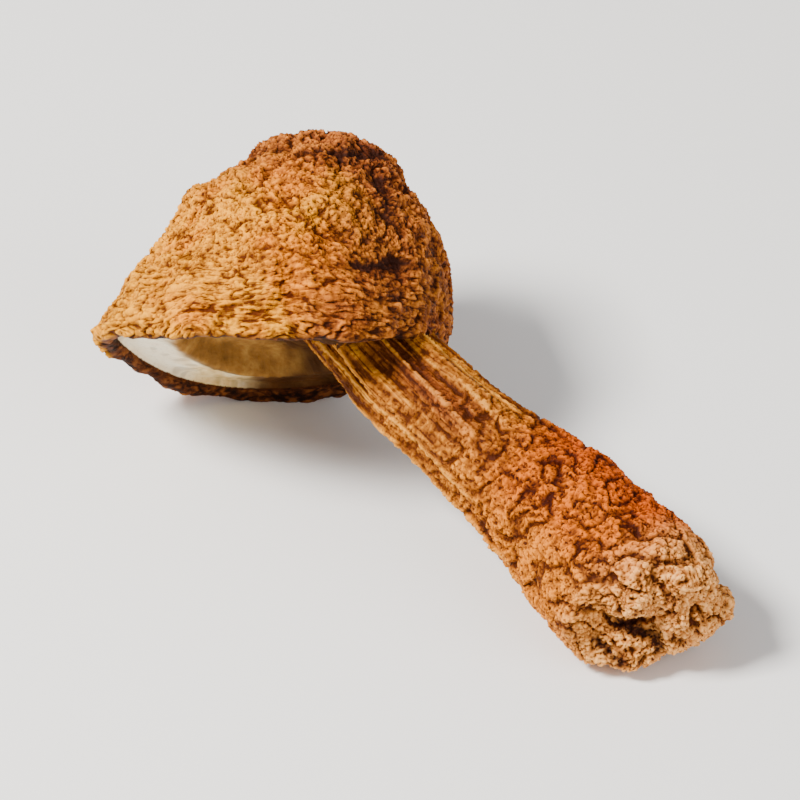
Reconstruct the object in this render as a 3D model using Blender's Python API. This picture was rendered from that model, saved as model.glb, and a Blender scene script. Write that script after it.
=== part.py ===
"""A dried almond mushroom, grown as one piece and lying on its side. Metres, +Z up.

The mushroom is first worked out upright, with the cap's axis along Z, the middle of the rim at the
origin and the stem running down from the cap. It is then laid down, so that it rests on the rim and
on the butt of the stem, with its length along X.
"""

import math

import bpy
from mathutils import Matrix, Vector, noise

MM = 0.001

# The cap
CAP_WIDTH = 40 * MM
CAP_DEPTH = 37 * MM
CAP_HEIGHT = 28 * MM
CROWN_SHIFT = (5.5 * MM, 1.0 * MM)
RIM_RISE = 3.0 * MM
RIM_RISE_LEFT = 1.0 * MM
RIM_THICKNESS = 2.5 * MM
RIM_SADDLE = 3.2 * MM
RIM_RIPPLE = 0.25 * MM
WART_PLACE = Vector((-8.6 * MM, -3.5 * MM, 20.8 * MM))
WART_WIDTH = 2.2 * MM
WART_REACH = 1.8 * MM

# The underside: a veil from the rim inwards, sunk round the stem
VEIL_DEPTH = 2.0 * MM
VEIL_STEP_RADIUS = 10.6 * MM
VEIL_STEP_WIDTH = 2.2 * MM
VEIL_EDGE_HEIGHT = 0.4 * MM
VEIL_EDGE_WIDTH = 1.0 * MM
SUNK_DEPTH = 4.4 * MM
STEM_IN_VEIL = (9.6 * MM, -3.4 * MM)

# The tear in the veil, and the gills that show in it
TEAR_CENTRE = (-1.6 * MM, -5.4 * MM)
TEAR_SIZE = (9.4 * MM, 6.2 * MM)
TEAR_RAGGEDNESS = 0.16
TEAR_POINTS = 40
VEIL_THICKNESS = 0.7 * MM
GILL_HEIGHT = 3.0 * MM
GILL_ROOT = 1.0 * MM
GILL_THICKNESS = 0.62 * MM
GILL_COUNT = 44
GILL_CENTRE = (1.0 * MM, 0.0)
GILL_REACH = (2.6 * MM, 13.0 * MM)
SHORT_GILL_START = 5.6 * MM

# The stem's middle line, from inside the cap to the butt, and its width along it
STEM_LINE = [
    (1.0 * MM, 0.0 * MM, 15.4 * MM),
    (11.6 * MM, -3.8 * MM, 2.4 * MM),
    (22.4 * MM, -7.4 * MM, -9.0 * MM),
    (31.9 * MM, -10.0 * MM, -17.7 * MM),
    (38.8 * MM, -13.5 * MM, -26.2 * MM),
    (43.5 * MM, -16.4 * MM, -32.5 * MM),
]
STEM_WIDTHS = [10.0 * MM, 11.0 * MM, 12.4 * MM, 15.8 * MM, 18.6 * MM, 17.0 * MM]
STEM_FLATNESS = 0.86
BUTT_START = 0.84
BUTT_BLUNTNESS = 2.4
BUTT_SLANT = 0.45

# The relief of the dried skin
COARSE_WAVE = 9.0 * MM
COARSE_HEIGHT = 0.85 * MM
WRINKLE_WAVE = 3.8 * MM
WRINKLE_HEIGHT = 0.80 * MM
STEM_RIDGES = 9
STEM_RIDGE_HEIGHT = 0.42 * MM
STEM_SWELL = 0.45 * MM
FOLD_WAVE = 4.2 * MM
FOLD_HEIGHT = 0.55 * MM
KNOB_WAVE = 4.6 * MM
KNOB_HEIGHT = 2.3 * MM

# A pit and two lumps on the butt: the place, how far it stands out, and its width
BUTT_LUMPS = [
    (Vector((40.3 * MM, -17.0 * MM, -31.2 * MM)), -2.2 * MM, 1.7 * MM),
    (Vector((40.0 * MM, -14.8 * MM, -34.6 * MM)), 1.6 * MM, 2.0 * MM),
    (Vector((44.8 * MM, -14.0 * MM, -33.0 * MM)), 2.6 * MM, 2.8 * MM),
]

# How it lies: the cap's axis leans over, and then the whole is turned about Z
CAP_LEAN = math.radians(-51.5)
TURN = math.radians(50.0)
RIM_CENTRE = Vector((-19.3 * MM, -4.3 * MM, 13.3 * MM))

CAP_SIDES = 84
SKIN_RINGS = 20
LIP_RINGS = 4
VEIL_RINGS = 17
STEM_SIDES = 44
SHAFT_RINGS = 30
BUTT_RINGS = 11
FLOOR_BLOCK = 200 * MM


def smooth_step(low, high, value):
    share = min(max((value - low) / (high - low), 0.0), 1.0)
    return share * share * (3 - 2 * share)


def waves(place, length, seed):
    """Soft noise between about -1 and 1, with a wave length."""
    return noise.noise(place / length + Vector((seed, 1.7 * seed, -seed)))


def wrinkles(place, length, seed):
    """Noise with sharp crests, between 0 and 1."""
    return 1.0 - min(abs(waves(place, length, seed)) * 2.2, 1.0)


def lump(place, middle, reach, width):
    """A rounded bump round a place, or a pit where its reach is below zero."""
    return reach * math.exp(-(((place - middle).length / width) ** 2))


def saddle(angle):
    """How far the rim is lifted: it is raised at its two ends, and wavy."""
    return RIM_SADDLE * math.cos(angle) ** 2 + RIM_RIPPLE * math.cos(4 * angle + 0.3)


def rim_rise(angle):
    """How far above the rim's edge the cap is widest: the left end is pointed."""
    return RIM_RISE + (RIM_RISE_LEFT - RIM_RISE) * max(-math.cos(angle), 0.0)


def outer_point(slope, angle):
    """A point on the skin of the cap: slope 0 is the crown, and a right angle is the widest ring."""
    up = max(math.cos(slope), 0.0) ** 1.11
    bell = math.sin(slope) ** 1.25
    cone = (1 - 0.55 * up) * math.sqrt(max(1 - up**6, 0.0))
    out = bell + (cone - bell) * max(-math.cos(angle), 0.0)
    shift = up**1.3
    x = CROWN_SHIFT[0] * shift + CAP_WIDTH / 2 * out * math.cos(angle)
    y = CROWN_SHIFT[1] * shift + CAP_DEPTH / 2 * out * math.sin(angle)
    rise = rim_rise(angle)
    z = rise + (CAP_HEIGHT - rise) * up + saddle(angle) * (1 - up) ** 2
    return Vector((x, y, z))


def lip_point(turn, angle):
    """A point on the rounded rim: turn 0 is the widest ring, and a half turn is the veil's margin."""
    inset = RIM_THICKNESS / 2 * (1 - math.cos(turn))
    rise = rim_rise(angle) if turn < math.pi / 2 else VEIL_DEPTH
    x = (CAP_WIDTH / 2 - inset) * math.cos(angle)
    y = (CAP_DEPTH / 2 - inset) * math.sin(angle)
    return Vector((x, y, rise * (1 - math.sin(turn)) + saddle(angle)))


def veil_point(reach, angle):
    """A point on the underside: reach 1 is the rim and 0 is inside the stem."""
    margin = lip_point(math.pi, angle)
    x = STEM_IN_VEIL[0] + (margin.x - STEM_IN_VEIL[0]) * reach
    y = STEM_IN_VEIL[1] + (margin.y - STEM_IN_VEIL[1]) * reach
    from_axis = math.hypot(x, y)
    sunk = smooth_step(VEIL_STEP_RADIUS, VEIL_STEP_RADIUS - VEIL_STEP_WIDTH, from_axis)
    edge = math.exp(-(((from_axis - VEIL_STEP_RADIUS) / VEIL_EDGE_WIDTH) ** 2))
    depth = VEIL_DEPTH + (SUNK_DEPTH - VEIL_DEPTH) * sunk - VEIL_EDGE_HEIGHT * edge
    return Vector((x, y, depth + saddle(angle) * reach**2))


def stem_line(share):
    """A point and a direction on the stem's middle line, and the width there."""
    count = len(STEM_LINE) - 1
    place = min(share * count, count - 1e-6)
    k = int(place)
    part = place - k
    points = [Vector(STEM_LINE[min(max(k + n, 0), count)]) for n in (-1, 0, 1, 2)]
    widths = [STEM_WIDTHS[min(max(k + n, 0), count)] for n in (-1, 0, 1, 2)]
    middle = catmull_rom(points, part)
    ahead = catmull_rom(points, part + 0.01) - catmull_rom(points, part - 0.01)
    return middle, ahead.normalized(), catmull_rom(widths, part)


def catmull_rom(values, t):
    a, b, c, d = values
    return (b * 2 + (c - a) * t + (a * 2 - b * 5 + c * 4 - d) * t**2 + (b * 3 - a - c * 3 + d) * t**3) * 0.5


def stem_point(share, angle):
    """A point on the stem's skin: share 0 is inside the cap and 1 is the slanted end of the butt."""
    middle, ahead, width = stem_line(share)
    side = ahead.cross(Vector((0.0, 1.0, 0.0))).normalized()
    front = side.cross(ahead)
    past_start = max(share - BUTT_START, 0.0) / (1 - BUTT_START)
    closing = math.sqrt(1 - past_start**BUTT_BLUNTNESS)
    opening = math.sqrt(min(share / 0.04, 1.0))
    radius = width / 2 * closing * opening
    ridged = smooth_step(0.62, 0.30, share)
    radius += STEM_RIDGE_HEIGHT * ridged * math.cos(STEM_RIDGES * angle + 5 * share) * opening
    out = side * math.cos(angle) + front * math.sin(angle) * STEM_FLATNESS
    slanted = BUTT_SLANT * smooth_step(0.70, 1.0, share) * math.cos(angle)
    return middle + (out + ahead * slanted) * radius


def skin_relief(place):
    """The height of the wrinkles on the cap's skin."""
    crown = smooth_step(0.5, 0.95, place.z / CAP_HEIGHT)
    coarse = COARSE_HEIGHT * (1 + 0.5 * crown) * waves(place, COARSE_WAVE, 3.0)
    near_rim = 1 + 0.8 * smooth_step(0.45, 0.10, place.z / CAP_HEIGHT)
    squeezed = Vector((place.x, place.y, place.z * near_rim))
    fine = WRINKLE_HEIGHT * (1 + 0.2 * crown) * wrinkles(squeezed, WRINKLE_WAVE, 8.0)
    return coarse + fine - WRINKLE_HEIGHT * 0.6 + lump(place, WART_PLACE, WART_REACH, WART_WIDTH)


def stem_relief(place, share):
    """The height of the folds on the stem, which turn into knobs at the butt."""
    lower = smooth_step(0.40, 0.62, share)
    butt = smooth_step(0.82, 0.92, share)
    folds = FOLD_HEIGHT * lower * (wrinkles(place, FOLD_WAVE, 12.0) - 0.45)
    knobs = KNOB_HEIGHT * butt * waves(place, KNOB_WAVE, 2.0)
    lumps = sum(lump(place, *each) for each in BUTT_LUMPS)
    return STEM_SWELL * waves(place, COARSE_WAVE, 6.0) + folds + knobs + lumps


def closed_skin(name, start, rings, end):
    """A closed mesh from a point over rings of points to another point."""
    sides = len(rings[0])
    points = [start, *[point for ring in rings for point in ring], end]
    faces = [(0, 1 + k, 1 + (k + 1) % sides) for k in range(sides)]
    for row in range(len(rings) - 1):
        first = 1 + row * sides
        for k in range(sides):
            a = first + k
            b = first + (k + 1) % sides
            faces.append((a, b + sides, b))
            faces.append((a, a + sides, b + sides))
    last = 1 + (len(rings) - 1) * sides
    faces += [(last + (k + 1) % sides, last + k, len(points) - 1) for k in range(sides)]
    mesh = bpy.data.meshes.new(name)
    mesh.from_pydata(points, [], faces)
    return mesh


def raise_relief(mesh, relief):
    """Moves each point along its normal by relief(place, index)."""
    normals = [vertex.normal.copy() for vertex in mesh.vertices]
    for index, vertex in enumerate(mesh.vertices):
        vertex.co += normals[index] * relief(vertex.co.copy(), index)


def build_cap():
    angles = [math.tau * k / CAP_SIDES for k in range(CAP_SIDES)]
    rings = []
    for step in range(1, SKIN_RINGS + 1):
        slope = math.pi / 2 * step / SKIN_RINGS
        rings.append([outer_point(slope, angle) for angle in angles])
    for step in range(1, LIP_RINGS + 1):
        turn = math.pi * step / LIP_RINGS
        rings.append([lip_point(turn, angle) for angle in angles])
    for step in range(1, VEIL_RINGS):
        reach = 1 - step / VEIL_RINGS
        rings.append([veil_point(reach, angle) for angle in angles])
    crown = outer_point(0.0, 0.0)
    root = veil_point(0.0, 0.0)
    mesh = closed_skin("cap", crown, rings, root)

    def relief(place, index):
        ring = max(index - 1, 0) // CAP_SIDES + 1
        past_skin = (ring - SKIN_RINGS) / LIP_RINGS
        return skin_relief(place) * smooth_step(1.0, 0.0, past_skin)

    raise_relief(mesh, relief)
    return mesh


def prism(name, outline, low, high):
    """A closed block with an outline of (x, y) points, from height low to height high."""
    count = len(outline)
    points = [(x, y, z) for z in (low, high) for x, y in outline]
    faces = [tuple(reversed(range(count))), tuple(range(count, 2 * count))]
    for k in range(count):
        ahead = (k + 1) % count
        faces.append((k, ahead, ahead + count, k + count))
    mesh = bpy.data.meshes.new(name)
    mesh.from_pydata(points, [], faces)
    return mesh


def build_tear():
    """The ragged opening in the veil, as deep as the gills are high."""
    outline = []
    for k in range(TEAR_POINTS):
        angle = math.tau * k / TEAR_POINTS
        round_place = Vector((math.cos(angle), math.sin(angle), 0.0))
        reach = 1 + TEAR_RAGGEDNESS * waves(round_place, 0.35, 4.0) + 0.03 * (-1) ** k
        x = TEAR_CENTRE[0] + TEAR_SIZE[0] * reach * math.cos(angle)
        y = TEAR_CENTRE[1] + TEAR_SIZE[1] * reach * math.sin(angle)
        outline.append((x, y))
    return prism("tear", outline, 0.0, SUNK_DEPTH + VEIL_THICKNESS + GILL_HEIGHT)


def build_gill(number):
    """One upright blade, which runs out from the cap's middle and ends in the flesh."""
    angle = math.tau * number / GILL_COUNT
    near = SHORT_GILL_START if number % 2 else GILL_REACH[0]
    along = (math.cos(angle), math.sin(angle))
    side = (-along[1] * GILL_THICKNESS / 2, along[0] * GILL_THICKNESS / 2)
    outline = []
    for distance, hand in ((near, -1), (GILL_REACH[1], -1), (GILL_REACH[1], 1), (near, 1)):
        x = GILL_CENTRE[0] + distance * along[0] + hand * side[0]
        y = GILL_CENTRE[1] + distance * along[1] + hand * side[1]
        outline.append((x, y))
    edge = SUNK_DEPTH + VEIL_THICKNESS
    return prism(f"gill_{number:02d}", outline, edge, edge + GILL_HEIGHT + GILL_ROOT)


def in_tear(number):
    """Whether a gill crosses the tear, on the side of the cap's middle where the tear lies."""
    angle = math.tau * number / GILL_COUNT
    middle = sum(GILL_REACH) / 2
    x = GILL_CENTRE[0] + middle * math.cos(angle)
    y = GILL_CENTRE[1] + middle * math.sin(angle)
    across = (x - TEAR_CENTRE[0]) / TEAR_SIZE[0]
    along = (y - TEAR_CENTRE[1]) / TEAR_SIZE[1]
    return math.hypot(across, along) < 1.3


def build_stem():
    angles = [math.tau * k / STEM_SIDES for k in range(STEM_SIDES)]
    shares = [BUTT_START * (step / SHAFT_RINGS) ** 0.92 for step in range(1, SHAFT_RINGS)]
    for step in range(BUTT_RINGS):
        shares.append(BUTT_START + (1 - BUTT_START) * math.sin(math.pi / 2 * step / BUTT_RINGS))
    rings = [[stem_point(share, angle) for angle in angles] for share in shares]
    mesh = closed_skin("stem", stem_line(0.0)[0], rings, stem_line(1.0)[0])

    def relief(place, index):
        ring = min(max(index - 1, 0) // STEM_SIDES, len(shares) - 1)
        return stem_relief(place, shares[ring])

    raise_relief(mesh, relief)
    return mesh


def lay_down(mesh):
    """Turns a mesh from the upright mushroom to where it lies."""
    turned = Matrix.Rotation(TURN, 4, "Z") @ Matrix.Rotation(CAP_LEAN, 4, "X")
    mesh.transform(Matrix.Translation(RIM_CENTRE) @ turned)


def dried_flesh():
    material = bpy.data.materials.new("dried_flesh")
    material.use_nodes = True
    shader = material.node_tree.nodes["Principled BSDF"]
    shader.inputs["Base Color"].default_value = (0.47, 0.22, 0.07, 1.0)
    shader.inputs["Roughness"].default_value = 0.6
    shader.inputs["Metallic"].default_value = 0.0
    return material


def add_object(name, mesh):
    thing = bpy.data.objects.new(name, mesh)
    bpy.context.scene.collection.objects.link(thing)
    return thing


def add_helper(name, mesh):
    """An object that only a Boolean uses."""
    helper = add_object(name, mesh)
    helper.hide_render = True
    helper.display_type = "WIRE"
    return helper


def add_gills():
    """The gills in the tear, as a collection of helpers."""
    group = bpy.data.collections.new("gills")
    bpy.context.scene.collection.children.link(group)
    for number in filter(in_tear, range(GILL_COUNT)):
        mesh = build_gill(number)
        lay_down(mesh)
        blade = add_helper(mesh.name, mesh)
        bpy.context.scene.collection.objects.unlink(blade)
        group.objects.link(blade)
    group.hide_render = True
    return group


def floor_block():
    """The block under the floor, whose top shapes the flats that the mushroom rests on."""
    half = FLOOR_BLOCK / 2
    corners = [(x, y, z) for x in (-half, half) for y in (-half, half) for z in (-half, 0.0)]
    faces = [(0, 1, 3, 2), (4, 6, 7, 5), (0, 4, 5, 1), (2, 3, 7, 6), (0, 2, 6, 4), (1, 5, 7, 3)]
    mesh = bpy.data.meshes.new("floor_block")
    mesh.from_pydata(corners, [], faces)
    return mesh


def add_boolean(thing, operation, other):
    boolean = thing.modifiers.new(other.name, "BOOLEAN")
    boolean.operation = operation
    boolean.solver = "EXACT"
    if isinstance(other, bpy.types.Collection):
        boolean.operand_type = "COLLECTION"
        boolean.collection = other
    else:
        boolean.object = other


def main():
    for old in list(bpy.data.objects):
        bpy.data.objects.remove(old)
    cap = build_cap()
    stem = build_stem()
    tear = build_tear()
    for mesh in (cap, stem, tear):
        lay_down(mesh)
    for mesh in (cap, stem):
        mesh.shade_smooth()
    cap.materials.append(dried_flesh())
    mushroom = add_object("mushroom", cap)
    add_boolean(mushroom, "DIFFERENCE", add_helper("tear_shape", tear))
    add_boolean(mushroom, "UNION", add_gills())
    add_boolean(mushroom, "UNION", add_helper("stem_shape", stem))
    add_boolean(mushroom, "DIFFERENCE", add_helper("floor_shape", floor_block()))


main()
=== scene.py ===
"""A dried almond mushroom in full detail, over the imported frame. Metres, +Z up.

The shape is worked out as in the frame: upright first, with the cap's axis along Z and the middle of
the rim at the origin. It is fused into one even mesh, wrinkled, laid down and cut into five pieces: the
crown and the brim of the cap, the veil, and the shaft and the butt of the stem. The gills are a sixth.
"""

import math

import bmesh
import bpy
import numpy as np
from mathutils import Matrix, Vector, kdtree, noise


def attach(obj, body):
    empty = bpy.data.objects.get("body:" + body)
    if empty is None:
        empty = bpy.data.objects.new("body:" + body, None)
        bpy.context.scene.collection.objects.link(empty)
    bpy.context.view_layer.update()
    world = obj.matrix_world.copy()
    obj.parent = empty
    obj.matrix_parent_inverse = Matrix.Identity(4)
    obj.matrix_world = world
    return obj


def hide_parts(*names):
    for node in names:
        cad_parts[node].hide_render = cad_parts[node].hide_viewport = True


MM = 0.001

# The cap, as in the frame
CAP_WIDTH = 40 * MM
CAP_DEPTH = 37 * MM
CAP_HEIGHT = 28 * MM
CROWN_SHIFT = (5.5 * MM, 1.0 * MM)
CROWN_LEAN = 1.3
CROWN_ROUNDNESS = 1.11
BELL_ROUNDNESS = 1.25
CONE_TAPER = 0.55
CONE_BLUNTNESS = 6
RIM_RISE = 3.0 * MM
RIM_RISE_LEFT = 1.0 * MM
RIM_THICKNESS = 2.5 * MM
RIM_SADDLE = 3.2 * MM
RIM_RIPPLE = 0.25 * MM
RIM_RIPPLES = 4
RIM_RIPPLE_START = 0.3
WART_PLACE = Vector((-8.6 * MM, -3.5 * MM, 20.8 * MM))
WART_WIDTH = 2.2 * MM
WART_REACH = 1.8 * MM

# The veil, the tear and the gills, as in the frame
VEIL_DEPTH = 2.0 * MM
VEIL_STEP_RADIUS = 10.6 * MM
VEIL_STEP_WIDTH = 2.2 * MM
VEIL_EDGE_HEIGHT = 0.4 * MM
VEIL_EDGE_WIDTH = 1.0 * MM
SUNK_DEPTH = 4.4 * MM
STEM_IN_VEIL = (9.6 * MM, -3.4 * MM)
TEAR_CENTRE = (-1.6 * MM, -5.4 * MM)
TEAR_SIZE = (9.4 * MM, 6.2 * MM)
TEAR_RAGGEDNESS = 0.16
TEAR_WAVE = 0.35
FRINGE = 0.07
FRINGE_WAVE = 0.09
VEIL_THICKNESS = 0.7 * MM
GILL_HEIGHT = 3.0 * MM
GILL_CENTRE = (1.0 * MM, 0.0)
GILL_REACH = (2.6 * MM, 12.6 * MM)
SHORT_GILL_START = 5.6 * MM

# The stem, as in the frame
STEM_LINE = [
    (1.0 * MM, 0.0 * MM, 15.4 * MM),
    (11.6 * MM, -3.8 * MM, 2.4 * MM),
    (22.4 * MM, -7.4 * MM, -9.0 * MM),
    (31.9 * MM, -10.0 * MM, -17.7 * MM),
    (38.8 * MM, -13.5 * MM, -26.2 * MM),
    (43.5 * MM, -16.4 * MM, -32.5 * MM),
]
STEM_WIDTHS = [10.0 * MM, 11.0 * MM, 12.4 * MM, 15.8 * MM, 18.6 * MM, 17.0 * MM]
STEM_FLATNESS = 0.86
STEM_ROUNDED_TOP = 0.04
STEM_RIDGES_END = (0.62, 0.30)
BUTT_START = 0.84
BUTT_BLUNTNESS = 2.4
BUTT_SLANT = 0.45
BUTT_SLANT_RANGE = (0.70, 1.0)

# The coarse relief, as in the frame
COARSE_WAVE = 9.0 * MM
COARSE_HEIGHT = 0.85 * MM
WRINKLE_WAVE = 3.8 * MM
WRINKLE_HEIGHT = 0.80 * MM
WRINKLE_MEAN = 0.6
CREST_SHARPNESS = 2.2
CROWN_RELIEF_RANGE = (0.5, 0.95)
CROWN_COARSER = 0.5
CROWN_SHARPER = 0.2
RIM_RELIEF_RANGE = (0.45, 0.10)
RIM_SQUEEZE = 0.8
STEM_RIDGES = 9
STEM_RIDGE_HEIGHT = 0.42 * MM
STEM_RIDGE_TWIST = 5
STEM_SWELL = 0.45 * MM
FOLD_WAVE = 4.2 * MM
FOLD_HEIGHT = 0.55 * MM
FOLD_MEAN = 0.45
FOLD_RANGE = (0.40, 0.62)
KNOB_WAVE = 4.6 * MM
KNOB_HEIGHT = 2.3 * MM
KNOB_RANGE = (0.82, 0.92)
BUTT_LUMPS = [
    (Vector((40.3 * MM, -17.0 * MM, -31.2 * MM)), -2.2 * MM, 1.7 * MM),
    (Vector((40.0 * MM, -14.8 * MM, -34.6 * MM)), 1.6 * MM, 2.0 * MM),
    (Vector((44.8 * MM, -14.0 * MM, -33.0 * MM)), 2.6 * MM, 2.8 * MM),
]

# How it lies, as in the frame
CAP_LEAN = math.radians(-51.5)
TURN = math.radians(50.0)
RIM_CENTRE = Vector((-19.3 * MM, -4.3 * MM, 13.3 * MM))
LAY = Matrix.Translation(RIM_CENTRE) @ Matrix.Rotation(TURN, 4, "Z") @ Matrix.Rotation(CAP_LEAN, 4, "X")

# The gills are as many as a real one's, and thinner than in the frame
GILL_COUNT = 96
GILL_STEPS = 16
GILL_ROWS = 6
GILL_EDGE_HALF = 0.07 * MM
GILL_ROOT_HALF = 0.17 * MM
GILL_ROOT_DEPTH = 0.5 * MM
GILL_SWAY = 0.30 * MM
GILL_SWAY_WAVE = 3.5 * MM
GILL_RAGGEDNESS = 0.35 * MM
GILL_RAGGED_WAVE = 1.4 * MM
GILL_MIDDLE = 7.0 * MM
TEAR_MARGIN = 1.25

# The meshes that are fused, and the even mesh that they become
CAP_SIDES = 200
SKIN_RINGS = 60
LIP_RINGS = 12
LIP_RINGS_IN_SKIN = 4
LIP_RINGS_IN_VEIL = 2
VEIL_RINGS = 44
STEM_SIDES = 120
SHAFT_RINGS = 110
SHAFT_RING_CROWDING = 0.92
BUTT_RINGS = 30
TEAR_POINTS = 160
HOLLOW_POINTS = 60
HOLLOW_SIZE = 1.1
HOLLOW_OVERLAP = 0.3 * MM
TEAR_BELOW_RIM = 1.0 * MM
VOXEL = 0.165 * MM
RELAX_ROUNDS = 5
RELAX_WEIGHT = 0.12
BLUR_WEIGHT = 0.2
WAVE_OF_BLUR = 5.9
FURTHER_BLUR = 2.4
BORDER_BLUR = 5
FOLD_BLUR = 6
CUT_GAP = 0.55 * MM
HOLLOW_TOP = 9 * MM
STEM_SAMPLES = 240
BLOCK = 4000

# The fine wrinkles: how long, how deep, and how far they are drawn out
GRANULE_WAVE = 1.4 * MM
LUMP_WAVE = 3.6 * MM
CREVICE_WAVE = 3.4 * MM
CRUMPLE_WAVE = 1.35 * MM
GRIT_WAVE = 0.6 * MM
WARP_WAVE = 2.4 * MM
WARP_REACH = 1.1 * MM
RIM_FOLD_WAVE = 0.85 * MM
RIM_FOLD_STRETCH = 0.32
RIM_FOLD_BEND = 1.6 * MM
RIM_BEND_WAVE = 8.0 * MM
STEM_FOLD_WAVE = 1.9 * MM
STEM_FINE_FOLD = 0.4
STEM_COARSE_SHARE = 0.6
STEM_FOLD_STRETCH = 0.055
STEM_FOLD_RADIUS = 6 * MM
STEM_FOLD_BEND = 0.5 * MM
STEM_BEND_WAVE = 6.0 * MM
VEIL_FOLD_WAVE = 1.3 * MM
VEIL_FOLD_STRETCH = 0.16
VEIL_FOLD_RADIUS = 8 * MM
VEIL_FOLD_BEND = 1.0 * MM
VEIL_BEND_WAVE = 3.0 * MM
SKIN_DEPTH = 0.46 * MM
STEM_DEPTH = 0.50 * MM
LIP_DEPTH = 0.13 * MM
VEIL_FOLD_DEPTH = 0.14 * MM
DARK_FOLD_DEPTH = 0.25 * MM
CROWN_DEEPER = 0.3
BUTT_DEEPER = 0.5

# How sharp their crests are, and the finer octave on them
PEBBLE_SHARPNESS = 1.5
FINE_SHARPNESS = 2.4
CREVICE_SHARPNESS = 7.0
OCTAVE = 0.48
OCTAVE_SHARE = 0.38

# How much each kind of wrinkle gives to the relief, which is 0 in a furrow and 1 on a ridge
GRANULE_SHARE = 0.34
CRUMPLE_SHARE = 0.28
LUMP_SHARE = 0.10
CAP_CREVICE_SHARE = 0.26
STEM_CREVICE_SHARE = 0.36
GRIT_SHARE = 0.14
FOLD_SHARE = 0.80
FOLD_COVER = 0.85
RIDGE_SHARE = 0.45
DARK_FOLD_SHARE = 0.50
LEVEL_PERCENTILES = (3, 97)
LEVEL_LIMITS = (-0.2, 1.2)

# Where folds and deeper relief run and pieces end, by height up the cap or by share down the stem
RIM_FOLD_RANGE = (0.55, 0.12)
RIM_FOLD_STRENGTH = 0.8
STEM_FOLD_RANGE = (0.56, 0.28)
STEM_FOLD_STRENGTH = 0.65
BORDER_PATCHES = 0.5
CROWN_RANGE = (0.55, 0.95)
BUTT_RANGE = (0.84, 0.93)
BRIM_TOP = 0.45
SHAFT_END = 0.66

# Pale ridges down the stem, raised, with a colour that is partly their own paler crests and partly a
# painted highlight: the angle at the top and at the lower end, how far down, and how strong.
# Angles go round the stem from its left side towards the front.
LEFT_SIDE = Vector((-0.756, 0.131, -0.642))
RIDGE_WIDTH = 0.062
RIDGE_TOP = 0.18
RIDGE_FADE = 0.12
RIDGE_BEND = 0.06
RIDGE_BEND_WAVE = 4.0 * MM
FURROW_PLACE = 2.2
FURROW_DEPTH = 0.5
PALE_RIDGES = [
    (0.20, 0.20, 0.76, 1.0),
    (0.56, 0.72, 0.54, 1.0),
    (1.10, 1.20, 0.40, 0.4),
    (1.85, 1.60, 0.46, 0.6),
    (2.28, 2.22, 0.50, 1.0),
    (2.66, 2.78, 0.52, 0.9),
]

# Painted shadow down the upper stem, between the pale ridges, weaker right under the cap, where the cap
# casts its own
DARK_SIDE_ANGLE = 1.80
DARK_SIDE_WIDTH = 0.75
DARK_SIDE_TOP = (0.22, 0.30)
DARK_SIDE_LEAST = 0.4
DARK_SIDE_END = (0.52, 0.36)

# Dark folds of the crown and of the brim, and round the knob of the butt, sunk in and filled with
# painted shade: two ends and a width in millimetres, and how deep
DARK_FOLDS = [
    ((7.4, -7.9, 23.4), (12.1, -4.1, 24.5), 1.3, 0.9),
    ((12.1, -7.1, 20.8), (13.1, -10.9, 15.6), 1.4, 0.7),
    ((9.7, -15.7, 8.8), (14.8, -11.1, 10.1), 0.8, 1.0),
    ((38.5, -16.9, -31.2), (42.3, -16.2, -32.4), 1.2, 0.9),
    ((36.2, -15.8, -33.3), (38.6, -15.0, -35.6), 0.6, 0.8),
    ((42.6, -16.2, -32.7), (42.9, -14.9, -34.5), 0.7, 0.8),
]

# Where the looks of the cap and of the veil change along X, with borders made ragged by patches
PATCH_WAVE = 5.0 * MM
BLOTCH_WAVE = 1.6 * MM
TIP_RANGE = (-11 * MM, -18 * MM)
# The cap's right side, and low at the right, get brown painted shade: where it starts, how high, how
# strong and how ragged
RIGHT_RANGE = (1 * MM, 13 * MM)
LOW_RIGHT_RANGE = (1 * MM, 7 * MM)
LOW_RIGHT_HEIGHT = (8 * MM, 4 * MM)
LOW_RIGHT_STRENGTH = 0.9
RIGHT_PATCHES = 1.5 * MM
# Painted shade on the veil towards the stem, under the rim: where it starts and ends, and how ragged
VEIL_SHADE_RANGE = (-2.0 * MM, 4.5 * MM)
VEIL_SHADE_PATCHES = (5.0 * MM, 2.0 * MM)
TAN_RANGE = (-4.5 * MM, 0.0 * MM)
TAN_PATCHES = (1.5 * MM, 1.0 * MM)
WHITE_RANGE = (-7.0 * MM, -12.0 * MM)

# Colours of the dried flesh, from the bottom of a furrow to the top of a ridge: partly the flesh's
# own darker furrows and paler crests, partly painted shade in the furrows and a painted highlight
# on the crests
SHADE_STOPS = (0.05, 0.35, 0.60, 0.95)
GOLD = ((88, 37, 0), (154, 92, 2), (208, 133, 0), (250, 168, 2))
RUSSET = ((78, 27, 0), (132, 66, 0), (184, 102, 0), (242, 142, 0))
BROWN = ((42, 12, 0), (90, 38, 14), (128, 63, 25), (190, 106, 40))
YELLOW = ((84, 37, 0), (142, 85, 0), (190, 125, 0), (236, 160, 2))
# The stem's tan at the top, made lighter as painted light against the cap's shadow there
STEM_TOP = ((92, 40, 2), (150, 86, 14), (192, 124, 28), (240, 172, 52))
# Painted shadow on the upper stem
STEM_DARK = ((54, 18, 3), (98, 42, 11), (130, 63, 22), (184, 100, 44))
STEM_MIDDLE = ((54, 12, 0), (100, 40, 0), (148, 70, 0), (214, 108, 0))
STEM_LOW = ((52, 12, 0), (102, 42, 0), (154, 74, 0), (222, 112, 0))
STEM_PALE = ((78, 32, 2), (130, 68, 8), (176, 104, 18), (232, 148, 36))
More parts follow.
